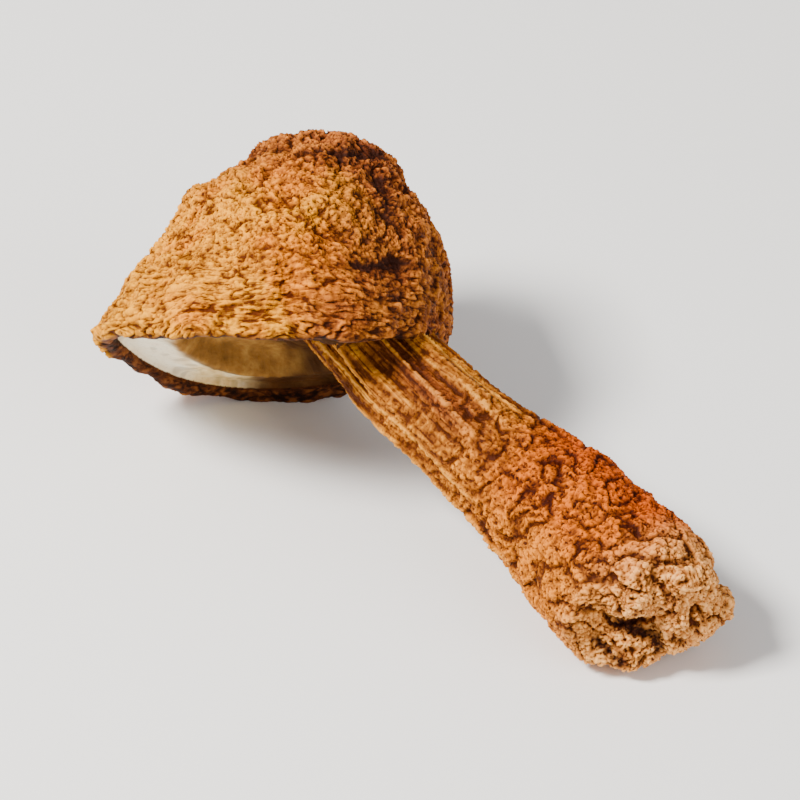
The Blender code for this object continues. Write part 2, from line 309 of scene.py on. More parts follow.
# The pale ridges: partly their own paler crests, partly a painted highlight
STEM_EDGE = ((86, 38, 4), (136, 77, 16), (176, 111, 32), (214, 150, 56))
STEM_ORANGE = ((58, 12, 0), (98, 32, 0), (138, 50, 0), (198, 82, 0))
BUTT_TAN = ((76, 31, 6), (156, 94, 38), (216, 144, 70), (254, 194, 116))
RIM_DARK = ((30, 10, 2), (56, 25, 6), (80, 39, 12), (120, 69, 30))
# Painted shade laid in the dark folds
SHADOWED = (46, 18, 8)

# How strong the flesh's mottling and pits are, how high the dark folds' shadow reaches, and roughness
MOTTLE_STRENGTH = 0.7
DASH_STRENGTH = 1.1
PIT_STRENGTH = 0.46
SHADOW_REACH = 1.3
ROUGHNESS_LEAST = 0.45
ROUGHNESS_SPREAD = 0.3

# Colours of the veil, of the gills and of the floor, from the darkest patches to the palest, and how
# far the sunken middle's border strays
PALE_STOPS = (0.35, 0.5, 0.7)
PATCH_STOPS = (0.3, 0.5, 0.7)
VEIL_PALE = ((220, 184, 118), (242, 214, 154), (252, 238, 200))
VEIL_OLIVE = ((116, 78, 30), (142, 98, 42), (172, 128, 62))
VEIL_TAN = ((84, 50, 20), (106, 66, 30), (132, 88, 46))
VEIL_STEP_WAVINESS = 2.4 * MM
VEIL_WHITE = (246, 240, 224)
# Painted shade on the veil, near the stem and along the step
VEIL_SHADE = (66, 38, 14)
VEIL_SPOT = (104, 70, 30)
# How strong the painted shade in the veil's furrows and its own darker spots are
FURROW_STRENGTH = 0.30
SPOT_STRENGTH = 0.20
GILL_BROWN = ((44, 26, 14), (78, 50, 28), (122, 86, 52))
FLOOR_GREY = ((238, 238, 238), (243, 243, 243))

# The camera: the middle of the view is this far to the right of the rim's centre and above it
VIEW_MIDDLE = (14.6 * MM, -3.0 * MM)
VIEW_ELEVATION = math.radians(40)
VIEW_DISTANCE = 1.0
LENS = 400

# The lights: how far each is to the right, away and up from the middle of the view, its size, power
# and colour
LIGHTS = {
    "key": ((-0.30, -0.10, 0.42), 0.14, 6.8, (1.0, 0.96, 0.90)),
    "fill": ((0.40, -0.30, 0.25), 0.40, 1.8, (1.0, 0.98, 0.95)),
}
WORLD_STRENGTH = 0.45
FLOOR_HALF = 1.5

# The parts that a point of the surface can be on, and what the materials of the pieces read
SKIN, LIP, VEIL, HOLLOW, STEM = range(5)
WRINKLED_KEYS = ("relief", "grain", "folded", "dark")
CAP_KEYS = (*WRINKLED_KEYS, "crown", "lip", "right", "tip")
STEM_KEYS = (*WRINKLED_KEYS, "share", "side", "edge", "shaded")
VEIL_KEYS = ("relief", "from_axis", "tanned", "shade_near_stem", "white", "inner")


def smooth_step(low, high, value):
    share = np.clip((value - low) / (high - low), 0.0, 1.0)
    return share * share * (3 - 2 * share)


def waves(place, length, seed):
    """Soft noise between about -1 and 1, with a wave length."""
    return noise.noise(place / length + Vector((seed, 1.7 * seed, -seed)))


def wrinkles(place, length, seed):
    """Noise with sharp crests, between 0 and 1."""
    return 1.0 - min(abs(waves(place, length, seed)) * CREST_SHARPNESS, 1.0)


def lump(place, middle, reach, width):
    """A rounded bump round a place, or a pit where its reach is below zero."""
    return reach * math.exp(-(((place - middle).length / width) ** 2))


def saddle(angle):
    ripple = RIM_RIPPLE * math.cos(RIM_RIPPLES * angle + RIM_RIPPLE_START)
    return RIM_SADDLE * math.cos(angle) ** 2 + ripple


def rim_rise(angle):
    return RIM_RISE + (RIM_RISE_LEFT - RIM_RISE) * max(-math.cos(angle), 0.0)


def outer_point(slope, angle):
    """A point on the skin of the cap: slope 0 is the crown, and a right angle is the widest ring."""
    up = max(math.cos(slope), 0.0) ** CROWN_ROUNDNESS
    bell = math.sin(slope) ** BELL_ROUNDNESS
    cone = (1 - CONE_TAPER * up) * math.sqrt(max(1 - up**CONE_BLUNTNESS, 0.0))
    out = bell + (cone - bell) * max(-math.cos(angle), 0.0)
    shift = up**CROWN_LEAN
    x = CROWN_SHIFT[0] * shift + CAP_WIDTH / 2 * out * math.cos(angle)
    y = CROWN_SHIFT[1] * shift + CAP_DEPTH / 2 * out * math.sin(angle)
    rise = rim_rise(angle)
    z = rise + (CAP_HEIGHT - rise) * up + saddle(angle) * (1 - up) ** 2
    return Vector((x, y, z))


def lip_point(turn, angle):
    """A point on the rounded rim: turn 0 is the widest ring, and a half turn is the veil's margin."""
    inset = RIM_THICKNESS / 2 * (1 - math.cos(turn))
    rise = rim_rise(angle) if turn < math.pi / 2 else VEIL_DEPTH
    x = (CAP_WIDTH / 2 - inset) * math.cos(angle)
    y = (CAP_DEPTH / 2 - inset) * math.sin(angle)
    return Vector((x, y, rise * (1 - math.sin(turn)) + saddle(angle)))


def veil_point(reach, angle):
    """A point on the underside: reach 1 is the rim and 0 is inside the stem."""
    margin = lip_point(math.pi, angle)
    x = STEM_IN_VEIL[0] + (margin.x - STEM_IN_VEIL[0]) * reach
    y = STEM_IN_VEIL[1] + (margin.y - STEM_IN_VEIL[1]) * reach
    from_axis = math.hypot(x, y)
    sunk = smooth_step(VEIL_STEP_RADIUS, VEIL_STEP_RADIUS - VEIL_STEP_WIDTH, from_axis)
    edge = math.exp(-(((from_axis - VEIL_STEP_RADIUS) / VEIL_EDGE_WIDTH) ** 2))
    depth = VEIL_DEPTH + (SUNK_DEPTH - VEIL_DEPTH) * sunk - VEIL_EDGE_HEIGHT * edge
    return Vector((x, y, depth + saddle(angle) * reach**2))


def catmull_rom(values, t):
    """A smooth curve from the second of four values to the third."""
    a, b, c, d = values
    straight = b * 2 + (c - a) * t
    square = (a * 2 - b * 5 + c * 4 - d) * t**2
    cube = (b * 3 - a - c * 3 + d) * t**3
    return (straight + square + cube) * 0.5


def stem_line(share):
    """A point and a direction on the stem's middle line, and the width there."""
    count = len(STEM_LINE) - 1
    place = min(share * count, count - 1e-6)
    k = int(place)
    part = place - k
    near = [min(max(k + n, 0), count) for n in (-1, 0, 1, 2)]
    points = [Vector(STEM_LINE[n]) for n in near]
    widths = [STEM_WIDTHS[n] for n in near]
    middle = catmull_rom(points, part)
    ahead = catmull_rom(points, part + 0.01) - catmull_rom(points, part - 0.01)
    return middle, ahead.normalized(), catmull_rom(widths, part)


def stem_point(share, angle):
    """A point on the stem's skin: share 0 is inside the cap and 1 is the slanted end of the butt."""
    middle, ahead, width = stem_line(share)
    side = ahead.cross(Vector((0.0, 1.0, 0.0))).normalized()
    front = side.cross(ahead)
    past_start = max(share - BUTT_START, 0.0) / (1 - BUTT_START)
    closing = math.sqrt(1 - past_start**BUTT_BLUNTNESS)
    opening = math.sqrt(min(share / STEM_ROUNDED_TOP, 1.0))
    radius = width / 2 * closing * opening
    ridged = smooth_step(*STEM_RIDGES_END, share)
    ridge = math.cos(STEM_RIDGES * angle + STEM_RIDGE_TWIST * share)
    radius += STEM_RIDGE_HEIGHT * ridged * ridge * opening
    out = side * math.cos(angle) + front * math.sin(angle) * STEM_FLATNESS
    slanted = BUTT_SLANT * smooth_step(*BUTT_SLANT_RANGE, share) * math.cos(angle)
    return middle + (out + ahead * slanted) * radius


def skin_relief(place):
    """The height of the coarse wrinkles on the cap's skin."""
    crown = smooth_step(*CROWN_RELIEF_RANGE, place.z / CAP_HEIGHT)
    coarse = COARSE_HEIGHT * (1 + CROWN_COARSER * crown) * waves(place, COARSE_WAVE, 3.0)
    near_rim = 1 + RIM_SQUEEZE * smooth_step(*RIM_RELIEF_RANGE, place.z / CAP_HEIGHT)
    squeezed = Vector((place.x, place.y, place.z * near_rim))
    fine = WRINKLE_HEIGHT * (1 + CROWN_SHARPER * crown) * wrinkles(squeezed, WRINKLE_WAVE, 8.0)
    wart = lump(place, WART_PLACE, WART_REACH, WART_WIDTH)
    return coarse + fine - WRINKLE_HEIGHT * WRINKLE_MEAN + wart


def stem_relief(place, share):
    """The height of the coarse folds on the stem, which turn into knobs at the butt."""
    lower = smooth_step(*FOLD_RANGE, share)
    butt = smooth_step(*KNOB_RANGE, share)
    folds = FOLD_HEIGHT * lower * (wrinkles(place, FOLD_WAVE, 12.0) - FOLD_MEAN)
    knobs = KNOB_HEIGHT * butt * waves(place, KNOB_WAVE, 2.0)
    lumps = sum(lump(place, *each) for each in BUTT_LUMPS)
    return STEM_SWELL * waves(place, COARSE_WAVE, 6.0) + folds + knobs + lumps


def mesh_of(name, points, faces):
    mesh = bpy.data.meshes.new(name)
    mesh.from_pydata(points, [], faces)
    return mesh


def object_of(name, data):
    """An object of the scene with this mesh, light or camera."""
    made = bpy.data.objects.new(name, data)
    bpy.context.scene.collection.objects.link(made)
    return made


def closed_skin(name, start, rings, end):
    """A closed mesh from a point over rings of points to another point."""
    sides = len(rings[0])
    points = [start, *[point for ring in rings for point in ring], end]
    faces = [(0, 1 + k, 1 + (k + 1) % sides) for k in range(sides)]
    for row in range(len(rings) - 1):
        first = 1 + row * sides
        for k in range(sides):
            a = first + k
            b = first + (k + 1) % sides
            faces.append((a, a + sides, b + sides, b))
    last = 1 + (len(rings) - 1) * sides
    faces += [(last + (k + 1) % sides, last + k, len(points) - 1) for k in range(sides)]
    return mesh_of(name, points, faces)


def raise_relief(mesh, relief):
    """Moves each point along its normal by relief(place, index)."""
    normals = [vertex.normal.copy() for vertex in mesh.vertices]
    for index, vertex in enumerate(mesh.vertices):
        vertex.co += normals[index] * relief(vertex.co.copy(), index)


def cap_solid():
    """The cap as a closed mesh, and which part of the cap each of its points is on."""
    angles = [math.tau * k / CAP_SIDES for k in range(CAP_SIDES)]
    rings = []
    for step in range(1, SKIN_RINGS + 1):
        slope = math.pi / 2 * step / SKIN_RINGS
        rings.append([outer_point(slope, angle) for angle in angles])
    for step in range(1, LIP_RINGS + 1):
        turn = math.pi * step / LIP_RINGS
        rings.append([lip_point(turn, angle) for angle in angles])
    for step in range(1, VEIL_RINGS):
        reach = 1 - step / VEIL_RINGS
        rings.append([veil_point(reach, angle) for angle in angles])
    mesh = closed_skin("cap_solid", outer_point(0.0, 0.0), rings, veil_point(0.0, 0.0))

    def relief(place, index):
        ring = max(index - 1, 0) // CAP_SIDES + 1
        past_skin = (ring - SKIN_RINGS) / LIP_RINGS
        return skin_relief(place) * smooth_step(1.0, 0.0, past_skin)

    raise_relief(mesh, relief)
    parts = np.full(len(mesh.vertices), VEIL)
    parts[: 1 + (SKIN_RINGS + LIP_RINGS - LIP_RINGS_IN_VEIL) * CAP_SIDES] = LIP
    parts[: 1 + (SKIN_RINGS + LIP_RINGS_IN_SKIN) * CAP_SIDES] = SKIN
    return mesh, parts


def stem_solid():
    """The stem as a closed mesh, with rings that lie closer together at the rounded end."""
    angles = [math.tau * k / STEM_SIDES for k in range(STEM_SIDES)]
    shares = [BUTT_START * (step / SHAFT_RINGS) ** SHAFT_RING_CROWDING for step in range(1, SHAFT_RINGS)]
    for step in range(BUTT_RINGS):
        shares.append(BUTT_START + (1 - BUTT_START) * math.sin(math.pi / 2 * step / BUTT_RINGS))
    rings = [[stem_point(share, angle) for angle in angles] for share in shares]
    mesh = closed_skin("stem_solid", stem_line(0.0)[0], rings, stem_line(1.0)[0])

    def relief(place, index):
        ring = min(max(index - 1, 0) // STEM_SIDES, len(shares) - 1)
        return stem_relief(place, shares[ring])

    raise_relief(mesh, relief)
    return mesh


def tear_outline(size, points):
    """The ragged outline of the tear, times a size."""
    outline = []
    for k in range(points):
        angle = math.tau * k / points
        round_place = Vector((math.cos(angle), math.sin(angle), 0.0))
        reach = 1 + TEAR_RAGGEDNESS * waves(round_place, TEAR_WAVE, 4.0)
        reach += FRINGE * waves(round_place, FRINGE_WAVE, 5.0)
        x = TEAR_CENTRE[0] + TEAR_SIZE[0] * reach * size * math.cos(angle)
        y = TEAR_CENTRE[1] + TEAR_SIZE[1] * reach * size * math.sin(angle)
        outline.append((x, y))
    return outline


def prism(name, outline, low, high):
    """A closed block with an outline of (x, y) points, from height low to height high."""
    count = len(outline)
    points = [(x, y, z) for z in (low, high) for x, y in outline]
    faces = [tuple(reversed(range(count))), tuple(range(count, 2 * count))]
    for k in range(count):
        ahead = (k + 1) % count
        faces.append((k, ahead, ahead + count, k + count))
    return mesh_of(name, points, faces)


def evaluated(mesh, *modifiers):
    """The mesh after modifiers, each given as a type and its settings."""
    thing = object_of("work", mesh)
    for kind, settings in modifiers:
        modifier = thing.modifiers.new(kind, kind)
        for key, value in settings.items():
            setattr(modifier, key, value)
    bpy.context.view_layer.update()
    graph = bpy.context.evaluated_depsgraph_get()
    made = bpy.data.meshes.new_from_object(thing.evaluated_get(graph))
    bpy.data.objects.remove(thing)
    return made


def fused_body():
    """The cap with its hollow and the stem, fused, and the points of both and the parts they are on."""
    cap, cap_parts = cap_solid()
    stem = stem_solid()
    gill_level = SUNK_DEPTH + VEIL_THICKNESS
    tear = prism("tear", tear_outline(1.0, TEAR_POINTS), -TEAR_BELOW_RIM, gill_level + HOLLOW_OVERLAP)
    hollow_outline = tear_outline(HOLLOW_SIZE, HOLLOW_POINTS)
    hollow = prism("hollow", hollow_outline, gill_level, gill_level + GILL_HEIGHT)
    shapes = np.concatenate([points_of(cap), points_of(stem)])
    parts = np.concatenate([cap_parts, np.full(len(stem.vertices), STEM)])
    cutters = [object_of(mesh.name, mesh) for mesh in (tear, hollow)]
    cuts = [("BOOLEAN", {"operation": "DIFFERENCE", "object": cutter}) for cutter in cutters]
    cap = evaluated(cap, *cuts)
    for cutter in cutters:
        bpy.data.objects.remove(cutter)
    joined = bmesh.new()
    joined.from_mesh(cap)
    joined.from_mesh(stem)
    both = bpy.data.meshes.new("both")
    joined.to_mesh(both)
    joined.free()
    even = evaluated(both, ("REMESH", {"mode": "VOXEL", "voxel_size": VOXEL, "adaptivity": 0.0}))
    faces = np.empty(len(even.loops), np.int32)
    even.loops.foreach_get("vertex_index", faces)
    return Surface(points_of(even), faces.reshape(-1, 4)), shapes, parts


def points_of(mesh):
    points = np.empty(len(mesh.vertices) * 3, np.float32)
    mesh.vertices.foreach_get("co", points)
    return points.reshape(-1, 3).astype(float)


class Surface:
    """An even mesh of quads, with what spreads values over it."""

    def __init__(self, points, faces):
        self.points = points
        self.faces = faces
        self.count = len(points)
        pairs = np.concatenate([faces[:, [k, (k + 1) % 4]] for k in range(4)])
        pairs = np.unique(np.sort(pairs, axis=1), axis=0)
        self.a = pairs[:, 0]
        self.b = pairs[:, 1]

    def spread(self, values, weight):
        """For each point, the weighted sum of the neighbours' values less its own."""
        flow = weight * (values[self.b] - values[self.a])
        return np.bincount(self.a, flow, self.count) - np.bincount(self.b, flow, self.count)

    def blur(self, values, rounds):
        for _ in range(rounds):
            values = values + self.spread(values, BLUR_WEIGHT)
        return values

    def relax(self, rounds):
        """Evens out the small steps that the fusing leaves."""
        for _ in range(rounds):
            moves = [self.spread(self.points[:, axis], RELAX_WEIGHT) for axis in range(3)]
            self.points = self.points + np.stack(moves, axis=1)

    def normals(self):
        corners = self.points[self.faces]
        across = np.cross(corners[:, 2] - corners[:, 0], corners[:, 3] - corners[:, 1])
        summed = np.empty((self.count, 3))
        for axis in range(3):
            each = np.repeat(across[:, axis], 4)
            summed[:, axis] = np.bincount(self.faces.reshape(-1), each, self.count)
        return summed / np.maximum(np.linalg.norm(summed, axis=1, keepdims=True), 1e-12)


def nearest_parts(surface, shapes, parts):
    """The part that each point is on, from the nearest point of the shapes that were fused."""
    tree = kdtree.KDTree(len(shapes))
    for index, point in enumerate(shapes):
        tree.insert(point, index)
    tree.balance()
    found = np.empty(surface.count, int)
    gap = np.empty(surface.count)
    for k, point in enumerate(surface.points):
        _, nearest, distance = tree.find(point)
        found[k] = parts[nearest]
        gap[k] = distance
    height = surface.points[:, 2]
    cut = (gap > CUT_GAP) & (height > 0) & (found != STEM)
    cut |= (gap > CUT_GAP) & (found == SKIN) & (height < HOLLOW_TOP)
    found[cut] = HOLLOW
    return found


def stem_shares(points):
    """For each point, how far along the stem it is, the direction of the stem there, and the side."""
    samples = [stem_line(share) for share in np.linspace(0.0, 1.0, STEM_SAMPLES)]
    middles = np.array([sample[0] for sample in samples])
    aheads = np.array([sample[1] for sample in samples])
    nearest = np.empty(len(points), int)
    for start in range(0, len(points), BLOCK):
        block = points[start : start + BLOCK]
        gaps = ((block[:, None, :] - middles[None, :, :]) ** 2).sum(axis=2)
        nearest[start : start + BLOCK] = gaps.argmin(axis=1)
    step = np.linalg.norm(np.diff(middles, axis=0), axis=1).mean()
    offset = points - middles[nearest]
    past = np.einsum("ij,ij->i", offset, aheads[nearest])
    offset -= past[:, None] * aheads[nearest]
    offset /= np.maximum(np.linalg.norm(offset, axis=1, keepdims=True), 1e-9)
    share = np.clip((nearest + past / step) / (STEM_SAMPLES - 1), 0.0, 1.0)
    return share, aheads[nearest], offset


def surface_noise(surface, wave, seed):
    """Even noise on the surface with a wave length, around 0 and mostly between -2 and 2.

    It is random values, blurred, less the same blurred further. A round of the blur spreads a value
    over 2 * BLUR_WEIGHT voxels squared.
    """
    near = (wave / WAVE_OF_BLUR / VOXEL) ** 2 / (2 * BLUR_WEIGHT)
    near_rounds = max(round(near), 1)
    start = np.random.default_rng(seed).normal(size=surface.count)
    close = surface.blur(start, near_rounds)
    band = close - surface.blur(close, round(FURTHER_BLUR * near))
    evenness = np.sqrt(surface.blur(band**2, 4 * near_rounds))
    return band / ((evenness + band.std()) / 2)


def noise_over(points, length, seed):
    """Soft noise at each point, with a wave length."""
    scaled = points / length + np.array([seed, 1.7 * seed, -seed])
    return np.array([noise.noise(place) for place in scaled])


def ridges_over(points, length, seed):
    """Noise at each point with sharp crests and a finer octave on it, from 0 to 1."""
    coarse = 1 - np.minimum(np.abs(noise_over(points, length, seed)) * FINE_SHARPNESS, 1)
    fine = 1 - np.minimum(np.abs(noise_over(points, OCTAVE * length, seed + 20)) * FINE_SHARPNESS, 1)
    return (1 - OCTAVE_SHARE) * coarse + OCTAVE_SHARE * fine


def crevices_over(points, length, seed):
    """Noise at each point with broad flats at 1 and narrow crevices down to 0."""
    return np.minimum(np.abs(noise_over(points, length, seed)) * CREVICE_SHARPNESS, 1)


def crumpled(points, seed):
    """The points, moved about a little, so that the noise that is read there loses its even look."""
    moves = [noise_over(points, WARP_WAVE, seed + 4.0 * axis) for axis in range(3)]
    return points + WARP_REACH * np.stack(moves, axis=1)


def depth_in_folds(points):
    """How deep each point is in any of the dark folds, from 0 to 1."""
    deepest = np.zeros(len(points))
    for start, end, width, depth in DARK_FOLDS:
        from_start = points - np.array(start) * MM
        along = (np.array(end) - np.array(start)) * MM
        share = np.clip(from_start @ along / (along @ along), 0.0, 1.0)
        gaps = np.linalg.norm(from_start - share[:, None] * along, axis=1)
        deepest = np.maximum(deepest, depth * np.exp(-((gaps / (width * MM)) ** 2)))
    return deepest


def pebbled(band):
    """Rounded bumps between sharp furrows, from 0 to 1."""
    return 1 - np.exp(-PEBBLE_SHARPNESS * np.abs(band))


def level_out(values, here):
    """The values stretched so that most of those at the marked points run from 0 to 1."""
    low, high = np.percentile(values[here], LEVEL_PERCENTILES)
    return np.clip((values - low) / (high - low), *LEVEL_LIMITS)


def cap_grain(points):
    """The points squeezed so that even noise, read there, runs round the cap in long folds."""
    squeezed = points * np.array([RIM_FOLD_STRETCH, RIM_FOLD_STRETCH, 1.0])
    squeezed[:, 2] += RIM_FOLD_BEND * noise_over(points, RIM_BEND_WAVE, 4.0)
    return squeezed


def veil_folds(points, from_axis):
    """Fine folds that run from the rim to the middle of the underside, between 0 and 1."""
    outwards = points[:, :2] / np.maximum(from_axis, 1e-6)[:, None]
    wander = VEIL_FOLD_BEND * noise_over(points, VEIL_BEND_WAVE, 21.0)
    around = outwards * (VEIL_FOLD_RADIUS + wander)[:, None]
    place = np.column_stack([around, from_axis * VEIL_FOLD_STRETCH])
    return ridges_over(place, VEIL_FOLD_WAVE, 22.0)


def stem_grain(points, share, ahead, offset):
    """The points squeezed so that even noise, read there, runs down the stem in long folds."""
    length = sum((Vector(b) - Vector(a)).length for a, b in zip(STEM_LINE, STEM_LINE[1:]))
    along = (share * length * STEM_FOLD_STRETCH)[:, None]
    wander = noise_over(points, STEM_BEND_WAVE, 6.0)[:, None]
    return offset * (STEM_FOLD_RADIUS + STEM_FOLD_BEND * wander) + ahead * along


def angles_round(ahead, offset):
    """For each point, the angle round the stem from its left side towards the front."""
    left = np.array(LEFT_SIDE)
    forwards = np.cross(left, ahead)
    return np.arctan2(np.einsum("ij,ij->i", offset, forwards), offset @ left)


def pale_ridges(angle, share, wander):
    """Thin ridges down the stem with a furrow on both sides: 1 on a ridge, and below 0 in its furrows."""
    raised = np.zeros(len(angle))
    for top, bottom, end, strength in PALE_RIDGES:
        place = top + (bottom - top) * smooth_step(RIDGE_TOP, end, share) + RIDGE_BEND * wander
        gap = np.abs(angle - place) / RIDGE_WIDTH
        profile = np.exp(-(gap**2)) - FURROW_DEPTH * np.exp(-((gap - FURROW_PLACE) ** 2))
        raised += strength * smooth_step(end, end - RIDGE_FADE, share) * profile
    return raised


class Facts:
    """What is known of each point of the surface while it is still smooth."""

    def __init__(self, surface, parts):
        self.points = surface.points
        self.skin_here = parts == SKIN
        self.stem_here = parts == STEM
        kinds = ((SKIN,), (LIP,), (STEM,), (VEIL, HOLLOW))
        blurred = [surface.blur(np.isin(parts, each).astype(float), BORDER_BLUR) for each in kinds]
        self.on_skin, self.on_lip, self.on_stem, self.inner = blurred
        self.up = self.points[:, 2] / CAP_HEIGHT
        self.from_axis = np.hypot(self.points[:, 0], self.points[:, 1])
        self.share, self.ahead, self.offset = stem_shares(self.points)
        self.angle = angles_round(self.ahead, self.offset)
        self.astray = crumpled(self.points, 30.0)
        self.patchy = noise_over(self.points, PATCH_WAVE, 3.0)
        self.blotchy = noise_over(self.points, BLOTCH_WAVE, 23.0)
        stem_side = stem_grain(self.points, self.share, self.ahead, self.offset)
        self.grain = np.where(self.stem_here[:, None], stem_side, cap_grain(self.points))


def loose_wrinkles(surface, at):
    """Granules, lumps, crumples and crevices, which run in no direction."""
    granules = pebbled(surface_noise(surface, GRANULE_WAVE, 11))
    lumps = pebbled(surface_noise(surface, LUMP_WAVE, 13))
    crumple = ridges_over(at.astray, CRUMPLE_WAVE, 5.0)
    crevices = crevices_over(at.astray, CREVICE_WAVE, 14.0)
    crevices = np.where(at.stem_here, STEM_CREVICE_SHARE, CAP_CREVICE_SHARE) * crevices
    return GRANULE_SHARE * granules + CRUMPLE_SHARE * crumple + LUMP_SHARE * lumps + crevices


def drawn_out_folds(at):
    """Folds that run round the cap's rim and down the stem."""
    ridges = ridges_over(at.grain, RIM_FOLD_WAVE, 9.0)
    crevices = crevices_over(at.grain, RIM_FOLD_WAVE, 15.0)
    coarse = ridges_over(at.grain, STEM_FOLD_WAVE, 2.0)
    fine = ridges_over(at.grain, STEM_FINE_FOLD * STEM_FOLD_WAVE, 17.0)
    on_stem = STEM_COARSE_SHARE * coarse + (1 - STEM_COARSE_SHARE) * fine
    return np.where(at.stem_here, on_stem, (ridges + crevices) / 2)


def how_folded(surface, at):
    """How far the folds take the place of the loose wrinkles, with a patchy border between them."""
    at_rim = RIM_FOLD_STRENGTH * smooth_step(*RIM_FOLD_RANGE, at.up)
    at_top = STEM_FOLD_STRENGTH * smooth_step(*STEM_FOLD_RANGE, at.share)
    folded = np.where(at.stem_here, at_top, at_rim)
    border = 1 - np.abs(2 * folded - 1)
    return np.clip(surface.blur(folded, FOLD_BLUR) + BORDER_PATCHES * at.patchy * border, 0.0, 1.0)


def wrinkle(surface, parts):
    """Raises the fine relief on the surface and returns what the materials read, for each point."""
    at = Facts(surface, parts)
    folded = how_folded(surface, at)
    loose = loose_wrinkles(surface, at) * (1 - FOLD_COVER * folded)
    grit = GRIT_SHARE * noise_over(at.points, GRIT_WAVE, 7.0)
    relief = loose + drawn_out_folds(at) * folded * FOLD_SHARE + grit
    relief = np.where(at.stem_here, level_out(relief, at.stem_here), level_out(relief, at.skin_here))
    wander = noise_over(at.points, RIDGE_BEND_WAVE, 24.0)
    ridges = pale_ridges(at.angle, at.share, wander) * at.on_stem
    dark = depth_in_folds((at.points + at.astray) / 2)
    relief = relief + RIDGE_SHARE * ridges - DARK_FOLD_SHARE * dark
    relief = relief * (1 - at.inner) + at.inner * veil_folds(at.points, at.from_axis)
    crown = smooth_step(*CROWN_RANGE, at.up) * at.on_skin
    butt = smooth_step(*BUTT_RANGE, at.share) * at.on_stem
    depth = at.on_skin * SKIN_DEPTH * (1 + CROWN_DEEPER * crown)
    depth += at.on_stem * STEM_DEPTH * (1 + BUTT_DEEPER * butt)
    depth += at.on_lip * LIP_DEPTH + at.inner * VEIL_FOLD_DEPTH
    rise = (relief - 0.5) * depth - dark * DARK_FOLD_DEPTH
    surface.points = at.points + surface.normals() * rise[:, None]
    values = {"relief": np.clip(relief, 0, 1), "grain": at.grain, "folded": folded, "dark": dark}
    return {**values, **cap_values(at, crown), **veil_values(at), **stem_values(at, ridges)}


def cap_values(at, crown):
    astray_x = at.points[:, 0] + RIGHT_PATCHES * at.patchy
    low = smooth_step(*LOW_RIGHT_HEIGHT, at.points[:, 2])
    low_right = LOW_RIGHT_STRENGTH * smooth_step(*LOW_RIGHT_RANGE, astray_x) * low
    return {
        "crown": crown,
        "lip": np.clip(at.on_lip + at.inner, 0, 1),
        # Painted shade over the cap's right side and its lower right
        "right": np.maximum(smooth_step(*RIGHT_RANGE, astray_x), low_right),
        "tip": smooth_step(*TIP_RANGE, at.points[:, 0]),
    }


def veil_values(at):
    def ragged_step(limits, patches):
        astray_x = at.points[:, 0] + patches[0] * at.patchy + patches[1] * at.blotchy
        return smooth_step(*limits, astray_x)

    return {
        "from_axis": at.from_axis,
        # Painted shade on the veil towards the stem
        "shade_near_stem": ragged_step(VEIL_SHADE_RANGE, VEIL_SHADE_PATCHES),
        "tanned": ragged_step(TAN_RANGE, TAN_PATCHES),
        "white": smooth_step(*WHITE_RANGE, at.points[:, 0]),
        "inner": at.inner,
    }


def stem_values(at, ridges):
    # Painted shadow down the upper stem
    across = np.exp(-(((at.angle - DARK_SIDE_ANGLE) / DARK_SIDE_WIDTH) ** 2))
    along = DARK_SIDE_LEAST + (1 - DARK_SIDE_LEAST) * smooth_step(*DARK_SIDE_TOP, at.share)
    return {
        "share": at.share,
        "side": at.offset[:, 0],
        "edge": np.clip(ridges, 0, 1),
        "shaded": across * along * smooth_step(*DARK_SIDE_END, at.share),
    }


def lay_down(points):
    turned = points @ np.array(LAY.to_3x3()).T + np.array(RIM_CENTRE)
    turned[:, 2] = np.maximum(turned[:, 2], 0.0)
    return turned


def piece_from(surface, name, wanted, normals, values, keys):
    """The faces that are wanted, as an object that keeps the whole surface's normals."""
    faces = surface.faces[wanted]
    used, index = np.unique(faces, return_inverse=True)
    mesh = mesh_of(name, surface.points[used].tolist(), index.reshape(-1, 4).tolist())
    mesh.shade_smooth()
    mesh.normals_split_custom_set_from_vertices(normals[used].tolist())
    for key in keys:
        numbers = values[key][used].astype(np.float32)
        kind, field = ("FLOAT_VECTOR", "vector") if numbers.ndim == 2 else ("FLOAT", "value")
        mesh.attributes.new(key, kind, "POINT").data.foreach_set(field, numbers.reshape(-1))
    return object_of(name, mesh)


def in_tear(angle):
    """Whether a gill at this angle crosses the tear."""
    x = GILL_CENTRE[0] + GILL_MIDDLE * math.cos(angle)
    y = GILL_CENTRE[1] + GILL_MIDDLE * math.sin(angle)
    across = (x - TEAR_CENTRE[0]) / TEAR_SIZE[0]
    along = (y - TEAR_CENTRE[1]) / TEAR_SIZE[1]
    return math.hypot(across, along) < TEAR_MARGIN


def gill_point(angle, distance, deep, hand, seed):
    """A point on one side of a blade: deep is 0 at its free edge and 1 where it is rooted in the cap."""
    sway = GILL_SWAY * waves(Vector((distance, seed * MM, 0.0)), GILL_SWAY_WAVE, 1.0)
    ragged = GILL_RAGGEDNESS * waves(Vector((distance, seed * 3 * MM, 0.0)), GILL_RAGGED_WAVE, 2.0)
    half = GILL_EDGE_HALF + (GILL_ROOT_HALF - GILL_EDGE_HALF) * deep
    lean = sway * (1 - 0.5 * deep) + half * hand
    x = GILL_CENTRE[0] + distance * math.cos(angle) - lean * math.sin(angle)
    y = GILL_CENTRE[1] + distance * math.sin(angle) + lean * math.cos(angle)
    z = SUNK_DEPTH + VEIL_THICKNESS + ragged * (1 - deep) + (GILL_HEIGHT + GILL_ROOT_DEPTH) * deep
    return x, y, z


